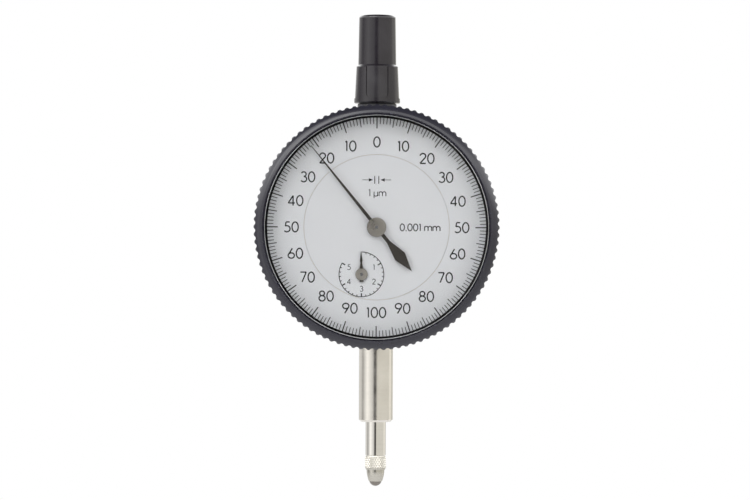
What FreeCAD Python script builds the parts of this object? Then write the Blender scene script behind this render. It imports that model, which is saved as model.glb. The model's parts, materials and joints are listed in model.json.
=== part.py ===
import FreeCAD, Part
import math
import os

import Sketcher

# Plunger dial indicator, 0.001 mm graduations, 5 mm travel.  +Z runs up along the spindle, the dial faces
# -Y, and the origin is on the spindle's axis at the middle of the stem's clamping length.
# Depths of everything on the dial's side of the design are counted towards the front (-Y) from that axis.
DRIVING_SIZES = {
    # places
    "dial_height": 36.7,
    "spindle_travel": 5.1,
    "running_fit": 0.02,
    # stem and spindle
    "stem_radius": 4.0,
    "stem_low": -9.0,
    "stem_top": 14.6,
    "stem_bore": 3.1,
    "stem_chamfer": 0.5,
    "stem_shoulder": 10.0,
    "stem_seat_radius": 4.25,
    "bush_length": 6.6,
    "spindle_radius": 2.4,
    "spindle_low": -17.0,
    "spindle_top": 75.0,
    "tip_thread_radius": 1.2,
    "tip_thread_length": 4.6,
    "knurl_radius": 2.5,
    "knurl_length": 3.3,
    "nose_radius": 2.1,
    "nose_end_radius": 1.62,
    "nose_length": 2.75,
    "ball_radius": 1.5,
    "ball_centre": -22.7,
    "groove_radius": 1.9,
    "groove_low": 73.0,
    "groove_width": 0.6,
    "stop_ring_radius": 3.2,
    # case
    "case_radius": 26.6,
    "case_inner": 23.2,
    "case_back": -5.4,
    "case_front": 9.2,
    "case_edge": 0.6,
    "boss_reach": 15.0,
    "boss_radius": 2.8,
    "neck_boss_radius": 5.2,
    "neck_boss_reach": 21.8,
    "snap_depth": 8.4,
    "snap_wire": 0.35,
    "snap_groove": 0.4,
    # back cover and its lug
    "cover_radius": 26.2,
    "cover_front": -5.8,
    "cover_back": -7.8,
    "gasket_inner": 24.4,
    "lug_thickness": 5.0,
    "lug_hole_radius": 3.25,
    "lug_hole_depth": -14.2,
    "lug_end_radius": 6.0,
    "lug_root_half": 8.0,
    # upper neck and cap
    "neck_radius": 4.0,
    "neck_low": 58.6,
    "neck_top": 72.6,
    "collar_radius": 4.6,
    "collar_seat_depth": 0.6,
    "collar_top": 65.9,
    "bumper_height": 0.4,
    "cap_low": 66.0,
    "cap_land_radius": 5.42,
    "cap_land_top_radius": 5.08,
    "cap_land_top": 74.4,
    "cap_floor_radius": 5.26,
    "cap_floor_top_radius": 4.8,
    "cap_waist_radius": 4.46,
    "cap_waist": 75.0,
    "cap_top_radius": 4.28,
    "cap_top": 86.7,
    "cap_top_round": 0.7,
    "cap_flute_low": 67.1,
    "cap_flute_half": 2.6,
    "cap_flute_corner": 1.1,
    "cap_bore_top": 73.6,
    "cap_upper_bore": 3.3,
    "cap_upper_bore_top": 85.3,
    # bezel and crystal
    "bezel_radius": 28.5,
    "bezel_valley": 28.08,
    "bezel_back": 7.2,
    "bezel_bore": 26.65,
    "bezel_shoulder": 12.3,
    "bezel_shoulder_round": 2.4,
    "bezel_front": 14.7,
    "bezel_bead_inner": 26.45,
    "bezel_bead_outer": 27.05,
    "bezel_bead_step": 0.35,
    "crystal_radius": 26.0,
    "crystal_seat": 13.6,
    "crystal_front": 15.6,
    "crystal_chamfer": 0.2,
    "crystal_chamfer_height": 0.35,
    "crystal_inner_radius": 25.35,
    "crystal_inner": 14.2,
    "seal_height": 0.3,
    "flange_low_radius": 25.5,
    "flange_high_radius": 25.3,
    "flange_low": 10.45,
    "clip_low": 9.5,
    "clip_high": 9.95,
    "clip_outer": 27.05,
    "clip_inner": 25.7,
    # dial
    "dial_back": 10.0,
    "dial_front": 10.4,
    "dial_ring_radius": 26.5,
    "dial_seam": 16.9,
    "dial_seam_gap": 0.025,
    # movement levels, counted to the front
    "base_plate_back": 3.0,
    "base_plate_front": 3.8,
    "base_plate_radius": 22.9,
    "front_plate_back": 8.1,
    "front_plate_front": 8.9,
    "front_plate_radius": 19.0,
    "cock_back": -3.9,
    "cock_front": -2.9,
    "pillar_across": 16.0,
    "pillar_up": 5.8,
    "pillar_radius": 1.4,
    "jewel_radius": 0.9,
    "pivot_radius": 0.25,
    "arbor_radius": 0.4,
    "pointer_level": 11.3,
    "pointer_thickness": 0.25,
    "hub_radius": 2.25,
    "counter_level": 10.7,
    "counter_hub_radius": 1.42,
    "counter_hand_thickness": 0.2,
    "rear_pivot_end": 3.05,
    "rear_pivot_shoulder": 3.85,
    "front_pivot_shoulder": 8.05,
    "front_pivot_end": 8.75,
    "dial_foot_reach": 12.0,
    "dial_foot_radius": 1.0,
    # wheels
    "rack_pitch": 0.5,
    "rack_pitch_line": 1.9,
    "rack_teeth_above": 2,
    "rack_teeth_below": 13,
    "rack_pinion_teeth": 12,
    "first_wheel_teeth": 80,
    "middle_pinion_teeth": 16,
    "slow_module": 0.15,
    "second_wheel_teeth": 84,
    "centre_pinion_teeth": 14,
    "fast_module": 0.14,
    "wheel_thickness": 0.4,
    "first_wheel_level": 4.2,
    "counter_wheel_level": 4.9,
    "second_wheel_level": 5.7,
    "counter_across": -3.46,
    "counter_up": -10.95,
    # return spring and its pin
    "spring_across": -7.8,
    "spring_coil_radius": 1.4,
    "spring_wire_radius": 0.2,
    "spring_pitch": 1.5,
    "spring_turns": 16,
    "anchor_height": 22.0,
    "pin_height": 51.0,
    "pin_radius": 0.8,
    # hairspring
    "hairspring_low": 6.6,
    "hairspring_high": 7.1,
    "hairspring_start": 1.25,
    "hairspring_growth": 0.28,
}

SERRATIONS = 100
POINTER_ANGLE = 38.95
COUNTER_ANGLE = 1.3
SCREW_SLOT_WIDTH = 0.5
SCREW_SLOT_DEPTH = 0.45
TOOTH_FILL = 0.44
TOOTH_TIP_FILL = 0.2
TOOTH_ROOT_FILL = 0.6
ADDENDUM = 0.9
DEDENDUM = 1.2
HAIRSPRING_HALF_TURNS = 12
HAIRSPRING_HALF_THICKNESS = 0.04
STOP_RING_TURN = 40
OVERRUN = 1.0

doc = FreeCAD.newDocument("DialIndicator")
subparts = []


class Size:
    """A length with two faces: its value, and the sheet expression that a feature is bound to."""

    def __init__(self, value, text):
        self.value = value
        self.text = text

    def __add__(self, other):
        other = as_size(other)
        return Size(self.value + other.value, f"({self.text} + {other.text})")

    def __sub__(self, other):
        other = as_size(other)
        return Size(self.value - other.value, f"({self.text} - {other.text})")

    def __mul__(self, other):
        other = as_size(other)
        return Size(self.value * other.value, f"({self.text} * {other.text})")

    def __neg__(self):
        return Size(-self.value, f"(-1 * {self.text})")


def as_size(number):
    return number if isinstance(number, Size) else Size(number, repr(float(number)))


class Sheet:
    """Reads a driving size by its alias."""

    def __getattr__(self, alias):
        return Size(DRIVING_SIZES[alias], f"Sizes.{alias}")


D = Sheet()


def write_sheet():
    sheet = doc.addObject("Spreadsheet::Sheet", "Sizes")
    for row, (alias, value) in enumerate(DRIVING_SIZES.items(), 1):
        sheet.set(f"A{row}", alias)
        sheet.set(f"B{row}", str(value))
        sheet.setAlias(f"B{row}", alias)
    doc.recompute()


def value_of(number):
    return as_size(number).value


def vector(x, y, z=0.0):
    return FreeCAD.Vector(value_of(x), value_of(y), value_of(z))


def facing_front(across=0.0, up=0.0, turn=0.0):
    """A placement on the dial's axis: local Z runs to the front, local Y up, turned in the dial's plane."""
    stand = FreeCAD.Rotation(FreeCAD.Vector(1, 0, 0), 90)
    spin = FreeCAD.Rotation(FreeCAD.Vector(0, 0, 1), turn)
    return FreeCAD.Placement(vector(across, 0, D.dial_height + up), stand * spin)


def keep(thing, name, place=None):
    """Make a finished object one of the sub-parts that are written out."""
    thing.Label = name
    if place is not None:
        thing.Placement = place
    subparts.append(thing)
    return thing


def bind(thing, **sizes):
    for key, size in sizes.items():
        thing.setExpression(key, as_size(size).text)


# ---- sketches and features ----------------------------------------------------------------------


def new_body(name):
    return doc.addObject("PartDesign::Body", f"{name}_body")


def origin_part(body, role):
    return next(item for item in body.Origin.OriginFeatures if item.Role == role)


def new_sketch(body, plane, level=0.0):
    sketch = body.newObject("Sketcher::SketchObject", f"{body.Name}_sketch")
    sketch.AttachmentSupport = (origin_part(body, plane), [""])
    sketch.MapMode = "FlatFace"
    sketch.AttachmentOffset = FreeCAD.Placement(vector(0, 0, level), FreeCAD.Rotation())
    sketch.setExpression("AttachmentOffset.Base.z", as_size(level).text)
    return sketch


def pin_point(sketch, edge, position, corner):
    """Hold one point of an edge at a pair of sizes."""
    for kind, axis_line, size in (("DistanceX", -2, corner[0]), ("DistanceY", -1, corner[1])):
        size = as_size(size)
        if size.value == 0:
            sketch.addConstraint(Sketcher.Constraint("PointOnObject", edge, position, axis_line))
        else:
            held = sketch.addConstraint(Sketcher.Constraint(kind, -1, 1, edge, position, size.value))
            sketch.setExpression(f"Constraints[{held}]", size.text)


def bent_edge(start, end, bend):
    """An arc from start to end with the given radius; a positive one bulges to the right of the way."""
    middle = (start + end) * 0.5
    along = end - start
    across = FreeCAD.Vector(along.y, -along.x, 0).normalize()
    rise = math.sqrt(bend * bend - along.Length**2 / 4)
    sag = abs(bend) - rise
    return Part.Arc(start, middle + across * math.copysign(sag, bend), end)


def draw_outline(sketch, corners):
    """A closed outline.  A corner is (x, y), or (x, y, bend) where an arc leads on to the next corner."""
    first = sketch.GeometryCount
    ends = []
    for corner, following in zip(corners, corners[1:] + corners[:1]):
        start, end = vector(*corner[:2]), vector(*following[:2])
        if len(corner) == 3:
            arc = bent_edge(start, end, value_of(corner[2]))
            edge = sketch.addGeometry(arc)
            forward = sketch.Geometry[edge].StartPoint.distanceToPoint(start) < 1e-6
            ends.append((1, 2) if forward else (2, 1))
            held = sketch.addConstraint(Sketcher.Constraint("Radius", edge, abs(value_of(corner[2]))))
            bend = as_size(corner[2])
            sketch.setExpression(f"Constraints[{held}]", bend.text if bend.value > 0 else (-bend).text)
        else:
            sketch.addGeometry(Part.LineSegment(start, end))
            ends.append((1, 2))
    for index, corner in enumerate(corners):
        following = (index + 1) % len(corners)
        end, start = ends[index][1], ends[following][0]
        sketch.addConstraint(Sketcher.Constraint("Coincident", first + index, end, first + following, start))
        pin_point(sketch, first + index, ends[index][0], corner[:2])


def draw_circles(sketch, circles):
    """Circles given as (x, y, radius)."""
    for x, y, radius in circles:
        circle = Part.Circle(vector(x, y), FreeCAD.Vector(0, 0, 1), value_of(radius))
        edge = sketch.addGeometry(circle)
        pin_point(sketch, edge, 3, (x, y))
        held = sketch.addConstraint(Sketcher.Constraint("Radius", edge, value_of(radius)))
        sketch.setExpression(f"Constraints[{held}]", as_size(radius).text)


def revolve(body, corners):
    sketch = new_sketch(body, "XZ_Plane")
    draw_outline(sketch, corners)
    turn = body.newObject("PartDesign::Revolution", f"{body.Name}_turn")
    turn.Profile = sketch
    turn.ReferenceAxis = (sketch, ["V_Axis"])
    turn.Angle = 360
    body.Tip = turn
    return turn


def extrude(body, kind, sketch, length):
    """A Pad goes up from its sketch, and a Pocket down from it."""
    feature = body.newObject(f"PartDesign::{kind}", f"{body.Name}_{kind}")
    feature.Profile = sketch
    bind(feature, Length=length)
    body.Tip = feature
    return feature


def pad_circles(body, circles, low, high, plane="XY_Plane"):
    sketch = new_sketch(body, plane, low)
    draw_circles(sketch, circles)
    return extrude(body, "Pad", sketch, as_size(high) - low)


def pad_outline(body, corners, low, high, plane="XY_Plane"):
    sketch = new_sketch(body, plane, low)
    draw_outline(sketch, corners)
    return extrude(body, "Pad", sketch, as_size(high) - low)


def cut_circles(body, circles, low, high, plane="XY_Plane"):
    sketch = new_sketch(body, plane, high)
    draw_circles(sketch, circles)
    return extrude(body, "Pocket", sketch, as_size(high) - low)


def cut_outline(body, corners, low, high, plane="XY_Plane"):
    sketch = new_sketch(body, plane, high)
    draw_outline(sketch, corners)
    return extrude(body, "Pocket", sketch, as_size(high) - low)


def box_corners(left, low, right, high):
    return [(left, low), (right, low), (right, high), (left, high)]


def ring_corners(inner, outer, low, high):
    return [(inner, low), (outer, low), (outer, high), (inner, high)]


def turned(name, corners, place=None):
    """A sub-part made on a lathe, from its half section of (radius, height) corners."""
    body = new_body(name)
    revolve(body, corners)
    return keep(body, name, place)


def ring(name, inner, outer, low, high, place=None):
    return turned(name, ring_corners(inner, outer, low, high), place)


def group(name, bodies):
    """Identical pieces in one node, as separate solids."""
    compound = doc.addObject("Part::Compound", name)
    compound.Links = bodies
    return keep(compound, name)


def pan_screw(name, head_radius, shank_radius, seat, head_height, length, place):
    """A slotted pan head screw that enters downwards at its seat."""
    body = new_body(name)
    top = as_size(seat) + head_height
    edge = head_height * 0.4
    corners = [
        (0.0, as_size(seat) - length),
        (shank_radius, as_size(seat) - length),
        (shank_radius, seat),
        (head_radius, seat),
        (head_radius, top - edge),
        (as_size(head_radius) - edge, top),
        (0.0, top),
    ]
    revolve(body, corners)
    half = SCREW_SLOT_WIDTH / 2
    slot = box_corners(-as_size(head_radius) - 1, -half, as_size(head_radius) + 1, half)
    cut_outline(body, slot, top - SCREW_SLOT_DEPTH, top + 0.2)
    body.Placement = place
    return body


def feature(name, shape, place=None):
    part = doc.addObject("Part::Feature", name)
    part.Shape = shape
    return keep(part, name, place)


# ---- toothed wheels -----------------------------------------------------------------------------


def tooth_outline(teeth, module, phase):
    """Corners of a toothed rim, with one tooth centred on the phase angle in degrees."""
    pitch_radius = teeth * module / 2
    pitch_angle = 2 * math.pi / teeth
    root = pitch_radius - DEDENDUM * module
    tip = pitch_radius + ADDENDUM * module
    rows = (
        (root, -TOOTH_ROOT_FILL),
        (pitch_radius, -TOOTH_FILL),
        (tip, -TOOTH_TIP_FILL),
        (tip, TOOTH_TIP_FILL),
        (pitch_radius, TOOTH_FILL),
        (root, TOOTH_ROOT_FILL),
    )
    corners = []
    for tooth in range(teeth):
        centre = math.radians(phase) + tooth * pitch_angle
        for radius, offset in rows:
            angle = centre + offset * pitch_angle / 2
            corners.append(FreeCAD.Vector(radius * math.cos(angle), radius * math.sin(angle), 0))
    return corners


def prism(corners, low, high):
    face = Part.Face(Part.makePolygon(corners + corners[:1]))
    face.translate(FreeCAD.Vector(0, 0, low))
    return face.extrude(FreeCAD.Vector(0, 0, high - low))


def cylinder(radius, low, high, across=0.0, up=0.0):
    return Part.makeCylinder(radius, high - low, FreeCAD.Vector(across, up, low))


def toothed(teeth, module, phase, low, high):
    return prism(tooth_outline(teeth, module, phase), low, high)


def wheel(teeth, module, phase, low, high, hub_radius):
    """A thin wheel with five round crossings and a bored hub."""
    shape = toothed(teeth, module, phase, low, high)
    crossing = teeth * module * 0.125
    reach = teeth * module * 0.27
    for index in range(5):
        angle = 2 * math.pi * (index + 0.5) / 5
        hole = cylinder(crossing, low, high, reach * math.cos(angle), reach * math.sin(angle))
        shape = shape.cut(hole)
    return shape.cut(cylinder(hub_radius, low, high))


def arbor(steps):
    """A stepped shaft from (low, high, radius) steps."""
    shape = cylinder(steps[0][2], steps[0][0], steps[0][1])
    for low, high, radius in steps[1:]:
        shape = shape.fuse(cylinder(radius, low, high))
    return shape


def mesh_phase(start, start_teeth, start_phase, end, end_teeth):
    """The phase that puts a gap of the second wheel around a tooth of the first, in degrees."""
    line = math.degrees(math.atan2(end[1] - start[1], end[0] - start[0]))
    return line + 180 - (start_phase - line) * start_teeth / end_teeth + 180 / end_teeth


def centre_distance(first_teeth, second_teeth, module):
    return (first_teeth + second_teeth) * module / 2


def circles_meet(first, first_radius, second, second_radius):
    """The right-hand meeting point of two circles, looking from the first centre to the second."""
    across, up = second[0] - first[0], second[1] - first[1]
    gap = math.hypot(across, up)
    along = (first_radius**2 - second_radius**2 + gap**2) / (2 * gap)
    side = math.sqrt(first_radius**2 - along**2)
    return (
        first[0] + (along * across - side * up) / gap,
        first[1] + (along * up + side * across) / gap,
    )


def movement_centres():
    """Arbor places from the dial's centre: the gear sizes and the counter's place settle all of them."""
    slow = DRIVING_SIZES["slow_module"]
    middle_teeth = DRIVING_SIZES["middle_pinion_teeth"]
    wheel_teeth = DRIVING_SIZES["first_wheel_teeth"]
    centre = (0.0, 0.0)
    counter = (DRIVING_SIZES["counter_across"], DRIVING_SIZES["counter_up"])
    fast = centre_distance(
        DRIVING_SIZES["second_wheel_teeth"], DRIVING_SIZES["centre_pinion_teeth"], DRIVING_SIZES["fast_module"]
    )
    slow_gap = centre_distance(wheel_teeth, middle_teeth, slow)
    middle = circles_meet(centre, fast, counter, slow_gap)
    pinion_radius = DRIVING_SIZES["rack_pinion_teeth"] * DRIVING_SIZES["rack_pitch"] / (2 * math.pi)
    drive_across = DRIVING_SIZES["rack_pitch_line"] + pinion_radius
    drop = math.sqrt(slow_gap**2 - (drive_across - middle[0]) ** 2)
    drive = (drive_across, middle[1] - drop)
    return {"centre": centre, "counter": counter, "middle": middle, "drive": drive}


CENTRES = movement_centres()


# ---- case ---------------------------------------------------------------------------------------


TURNED_OVER = FreeCAD.Placement(FreeCAD.Vector(), FreeCAD.Rotation(FreeCAD.Vector(0, 1, 0), 180))


def four_corners(reach):
    return [(sx * reach, sy * reach) for sx in (-1, 1) for sy in (-1, 1)]


def make_case():
    """A cup ring with four screw bosses and a boss at the bottom and the top for the stem and the neck."""
    body = new_body("case")
    edge = D.case_edge
    groove_low = D.snap_depth - D.snap_groove
    groove_high = D.snap_depth + D.snap_groove
    revolve(
        body,
        [
            (D.case_inner, D.case_back),
            (D.case_radius - edge, D.case_back),
            (D.case_radius, D.case_back + edge),
            (D.case_radius, groove_low),
            (D.case_radius - D.snap_groove, groove_low),
            (D.case_radius - D.snap_groove, groove_high),
            (D.case_radius, groove_high),
            (D.case_radius, D.case_front - 0.2),
            (D.case_radius - 0.2, D.case_front),
            (D.case_inner, D.case_front),
        ],
    )
    reach = D.boss_reach
    for sx, sy in four_corners(1):
        pad_circles(body, [(reach * sx, reach * sy, D.boss_radius)], D.case_back, D.base_plate_back)
    wall = D.case_inner + 1.6
    pad_circles(body, [(0.0, 0.0, D.neck_boss_radius)], D.neck_boss_reach, wall, "XZ_Plane")
    pad_circles(body, [(0.0, 0.0, D.neck_boss_radius)], -wall, -D.neck_boss_reach, "XZ_Plane")
    beyond = D.case_radius + OVERRUN
    inside = D.neck_boss_reach - OVERRUN
    cut_circles(body, [(0.0, 0.0, D.stem_seat_radius)], inside, beyond, "XZ_Plane")
    cut_circles(body, [(0.0, 0.0, D.neck_radius)], -beyond, -inside, "XZ_Plane")
    holes = [(reach * sx, reach * sy, 1.0) for sx, sy in four_corners(1)]
    cut_circles(body, holes, D.case_back - 1, D.case_back + 3.9)
    cut_circles(body, holes, D.base_plate_back - 3.5, D.base_plate_back + 1)
    collar_seat = D.case_radius - D.collar_seat_depth
    cut_circles(body, [(0.0, 0.0, D.collar_radius)], -beyond, -collar_seat, "XZ_Plane")
    keep(body, "case", facing_front())


def make_stem():
    """The clamping stem, pressed into the case by its wider end, with a bush at each end of its bore."""
    turned(
        "stem",
        [
            (D.stem_bore, D.stem_low),
            (D.stem_radius - D.stem_chamfer, D.stem_low),
            (D.stem_radius, D.stem_low + D.stem_chamfer),
            (D.stem_radius, D.stem_shoulder),
            (D.stem_seat_radius, D.stem_shoulder),
            (D.stem_seat_radius, D.stem_top),
            (D.stem_bore, D.stem_top),
        ],
    )
    bore = D.spindle_radius + D.running_fit
    for name, low in (
        ("stem_bush_lower", D.stem_low + 0.4),
        ("stem_bush_upper", D.stem_top - D.bush_length),
    ):
        high = low + D.bush_length
        turned(
            name,
            [
                (bore, low + 0.2),
                (bore + 0.2, low),
                (D.stem_bore, low),
                (D.stem_bore, high),
                (bore + 0.2, high),
                (bore, high - 0.2),
            ],
        )


def make_upper_neck():
    """The neck that guides the spindle's upper end, with a collar that sits in the case."""
    bore = D.spindle_radius + D.running_fit
    collar_low = D.dial_height + D.case_radius - D.collar_seat_depth
    turned(
        "upper_neck",
        [
            (bore, D.neck_low),
            (D.neck_radius, D.neck_low),
            (D.neck_radius, collar_low),
            (D.collar_radius, collar_low),
            (D.collar_radius, D.collar_top - 0.2),
            (D.collar_radius - 0.2, D.collar_top),
            (D.neck_radius, D.collar_top),
            (D.neck_radius, D.neck_top - 0.3),
            (D.neck_radius - 0.3, D.neck_top),
            (bore, D.neck_top),
        ],
    )
    ring("bumper_washer", bore + 0.1, D.neck_radius - 0.2, D.neck_top, D.neck_top + D.bumper_height)


def make_cap():
    """A moulded cap: a smooth upper part over a lower part with four shallow flutes between four lands."""
    blank = new_body("cap_blank")
    revolve(
        blank,
        [
            (D.neck_radius + D.running_fit, D.cap_low),
            (D.cap_land_radius - 0.15, D.cap_low),
            (D.cap_land_radius, D.cap_low + 0.25),
            (D.cap_land_top_radius, D.cap_land_top),
            (D.cap_waist_radius, D.cap_waist),
            (D.cap_top_radius, D.cap_top - D.cap_top_round, D.cap_top_round),
            (D.cap_top_radius - D.cap_top_round, D.cap_top),
            (0.0, D.cap_top),
            (0.0, D.cap_upper_bore_top),
            (D.cap_upper_bore, D.cap_upper_bore_top),
            (D.cap_upper_bore, D.cap_bore_top),
            (D.neck_radius + D.running_fit, D.cap_bore_top),
        ],
    )
    slabs = new_body("cap_slabs")
    half, low, corner = D.cap_flute_half, D.cap_flute_low, D.cap_flute_corner
    high = D.cap_waist + OVERRUN
    reach = D.cap_land_radius + OVERRUN
    outline = [
        (half, high),
        (-half, high),
        (-half, low + corner, corner),
        (corner - half, low),
        (half - corner, low, corner),
        (half, low + corner),
    ]
    pad_outline(slabs, outline, -reach, reach, "XZ_Plane")
    pad_outline(slabs, outline, -reach, reach, "YZ_Plane")
    floor = new_body("cap_floor")
    slope_start, slope_end = D.cap_flute_low - OVERRUN, D.cap_waist + OVERRUN
    revolve(
        floor,
        [
            (0.0, slope_start),
            (D.cap_floor_radius, slope_start),
            (D.cap_floor_top_radius, slope_end),
            (0.0, slope_end),
        ],
    )
    flutes = doc.addObject("Part::Cut", "cap_flutes")
    flutes.Base = slabs
    flutes.Tool = floor
    cap = doc.addObject("Part::Cut", "spindle_cap")
    cap.Base = blank
    cap.Tool = flutes
    keep(cap, "spindle_cap")


def make_back_cover():
    """A dished cover with a mounting lug across its middle and pads where its four screws pass."""
    body = new_body("back_cover")
    revolve(
        body,
        [
            (0.0, D.cover_back),
            (D.cover_radius - 0.9, D.cover_back),
            (D.cover_radius, D.cover_back + 0.9),
            (D.cover_radius, D.cover_front),
            (0.0, D.cover_front),
        ],
    )
    reach = D.boss_reach
    for sx, sy in four_corners(1):
        pad_circles(body, [(reach * sx, reach * sy, D.boss_radius)], D.cover_front - 0.1, D.case_back)
    half = D.lug_thickness * 0.5
    root = D.lug_root_half
    outline = [
        (-root, D.cover_back + 0.2),
        (-D.lug_end_radius, D.lug_hole_depth),
        (D.lug_end_radius, D.lug_hole_depth),
        (root, D.cover_back + 0.2),
    ]
    pad_outline(body, outline, -half, half, "YZ_Plane")
    pad_circles(body, [(0.0, D.lug_hole_depth, D.lug_end_radius)], -half, half, "YZ_Plane")
    cut_circles(body, [(0.0, D.lug_hole_depth, D.lug_hole_radius)], -half - 1, half + 1, "YZ_Plane")
    holes = [(reach * sx, reach * sy, 1.1) for sx, sy in four_corners(1)]
    cut_circles(body, holes, D.cover_back - 1, D.case_back + 1)
    keep(body, "back_cover", facing_front())
    ring("cover_gasket", D.gasket_inner, D.cover_radius - 0.3, D.cover_front, D.case_back, facing_front())


def make_cover_screws():
    """Four screws that enter from behind."""
    head_radius, shank_radius, head_height, length = 1.9, 1.0, 1.0, 5.8
    screws = []
    for index, (x, y) in enumerate(four_corners(D.boss_reach.value)):
        place = facing_front(x, y) * TURNED_OVER
        place = place * FreeCAD.Placement(FreeCAD.Vector(), FreeCAD.Rotation(40 * index, 0, 0))
        name, seat = f"cover_screw_{index}", -D.cover_back
        screws.append(pan_screw(name, head_radius, shank_radius, seat, head_height, length, place))
    group("cover_screws", screws)


# ---- plates of the movement ---------------------------------------------------------------------


def make_base_plate():
    body = new_body("base_plate")
    low, high = D.base_plate_back, D.base_plate_front
    revolve(body, [(0.0, low), (D.base_plate_radius, low), (D.base_plate_radius, high), (0.0, high)])
    notch = D.neck_boss_radius + 0.8
    edge = D.neck_boss_reach - 0.3
    outside = D.base_plate_radius + 1
    cut_outline(body, box_corners(-notch, -outside, notch, -edge), low - 1, high + 1)
    cut_outline(body, box_corners(-notch, edge, notch, outside), low - 1, high + 1)
    holes = [(*CENTRES[name], D.jewel_radius) for name in ("centre", "counter", "middle", "drive")]
    reach = D.boss_reach
    holes += [(reach * sx, reach * sy, 1.1) for sx, sy in four_corners(1)]
    cut_circles(body, holes, low - 1, high + 1)
    keep(body, "base_plate", facing_front())
    screws = [
        pan_screw(f"base_screw_{index}", 1.7, 1.0, high, 0.9, 3.8, facing_front(x, y, 30 + 50 * index))
        for index, (x, y) in enumerate(four_corners(D.boss_reach.value))
    ]
    group("base_plate_screws", screws)


def pillar_places():
    across, up = D.pillar_across.value, D.pillar_up.value
    return [(sx * across, sy * up) for sx, sy in four_corners(1)]


def make_front_plate():
    body = new_body("front_plate")
    low, high = D.front_plate_back, D.front_plate_front
    revolve(body, [(0.0, low), (D.front_plate_radius, low), (D.front_plate_radius, high), (0.0, high)])
    holes = [(*CENTRES[name], D.jewel_radius) for name in ("centre", "counter", "middle", "drive")]
    holes += [(x, y, 0.85) for x, y in pillar_places()]
    cut_circles(body, holes, low - 1, high + 1)
    keep(body, "front_plate", facing_front())
    pillars, screws = [], []
    for index, (x, y) in enumerate(pillar_places()):
        pillar = new_body(f"pillar_{index}")
        revolve(
            pillar,
            [
                (0.0, D.base_plate_front),
                (D.pillar_radius, D.base_plate_front),
                (D.pillar_radius, low),
                (0.8, low),
                (0.8, low - 2.2),
                (0.0, low - 2.2),
            ],
        )
        pillar.Placement = facing_front(x, y)
        pillars.append(pillar)
        place = facing_front(x, y, 70 * index)
        screws.append(pan_screw(f"plate_screw_{index}", 1.4, 0.8, high, 0.7, 2.6, place))
    group("movement_pillars", pillars)
    group("front_plate_screws", screws)


def make_rear_cock():
    """A bridge behind the rack pinion, on two feet that stand on the base plate."""
    body = new_body("rear_cock")
    across, up = CENTRES["drive"]
    foot_across = across + 4.7
    foot_up = 3.8
    low, high = D.cock_back, D.cock_front
    outline = [
        (across - 1.0, up + 1.4),
        (across - 1.0, up - 1.4),
        (foot_across - 1.2, up - foot_up - 1.2),
        (foot_across + 1.2, up - foot_up - 1.2),
        (foot_across + 1.2, up + foot_up + 1.2),
        (foot_across - 1.2, up + foot_up + 1.2),
    ]
    pad_outline(body, outline, low, high)
    feet = [(foot_across, up + side * foot_up) for side in (-1, 1)]
    pad_circles(body, [(x, y, 1.2) for x, y in feet], high - 0.1, D.base_plate_back)
    cut_circles(body, [(across, up, D.jewel_radius)], low - 1, high + 1)
    cut_circles(body, [(x, y, 0.7) for x, y in feet], low - 1, low + 3.4)
    keep(body, "rear_cock", facing_front())
    screws = [
        pan_screw(f"cock_screw_{index}", 1.15, 0.7, -low, 0.7, 3.0, facing_front(x, y) * TURNED_OVER)
        for index, (x, y) in enumerate(feet)
    ]
    group("rear_cock_screws", screws)


def make_jewels():
    """Bearing rings: pivots run in the blind ones, and two arbors run through the front ones."""
    pivot = D.pivot_radius + D.running_fit
    through = D.arbor_radius + D.running_fit
    rear = [(name, pivot, D.base_plate_back, D.base_plate_front) for name in ("centre", "counter", "middle")]
    rear.append(("drive", pivot, D.cock_back, D.cock_front))
    low, high = D.front_plate_back, D.front_plate_front
    front = [
        ("centre", through, low, high),
        ("counter", through, low, high),
        ("middle", pivot, low, high),
        ("drive", pivot, low, high),
    ]
    for name, rows in (("rear_jewels", rear), ("front_jewels", front)):
        jewels = []
        for arbor_name, bore, back, front_face in rows:
            jewel = new_body(f"{name}_{arbor_name}")
            revolve(jewel, ring_corners(bore, D.jewel_radius, back, front_face))
            jewel.Placement = facing_front(*CENTRES[arbor_name])
            jewels.append(jewel)
        group(name, jewels)


def make_spindle_guide():
    """A bracket with an upright slot that keeps the spindle from turning."""
    body = new_body("guide_bracket")
    wall, far = -5.6, -4.6
    slot_low = D.pin_height - D.dial_height - D.pin_radius - 0.5
    slot_high = D.pin_height - D.dial_height + D.spindle_travel + D.pin_radius + 0.5
    low, high = slot_low - 0.8, slot_high + 0.6
    pad_outline(body, box_corners(wall, low, far, high), -2.2, D.base_plate_back)
    pad_outline(body, box_corners(far - 0.1, low, far + 3.2, high), D.base_plate_back - 0.55, D.base_plate_back)
    half = D.pin_radius + D.running_fit
    slot = [(slot_low, -half), (slot_high, -half), (slot_high, half), (slot_low, half)]
    cut_outline(body, slot, wall - 1, far + 1, "YZ_Plane")
    keep(body, "guide_bracket", facing_front())
    height = D.pin_height.value - D.dial_height.value
    rivets = []
    for index, rise in enumerate((0.4, 4.4)):
        rivet = new_body(f"guide_rivet_{index}")
        seat = D.base_plate_back - 0.55
        revolve(
            rivet,
            [(0.0, seat - 0.35), (0.55, seat - 0.35), (0.7, seat), (0.0, seat)],
        )
        rivet.Placement = facing_front(-2.95, height + rise)
        rivets.append(rivet)
    group("guide_rivets", rivets)


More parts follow.
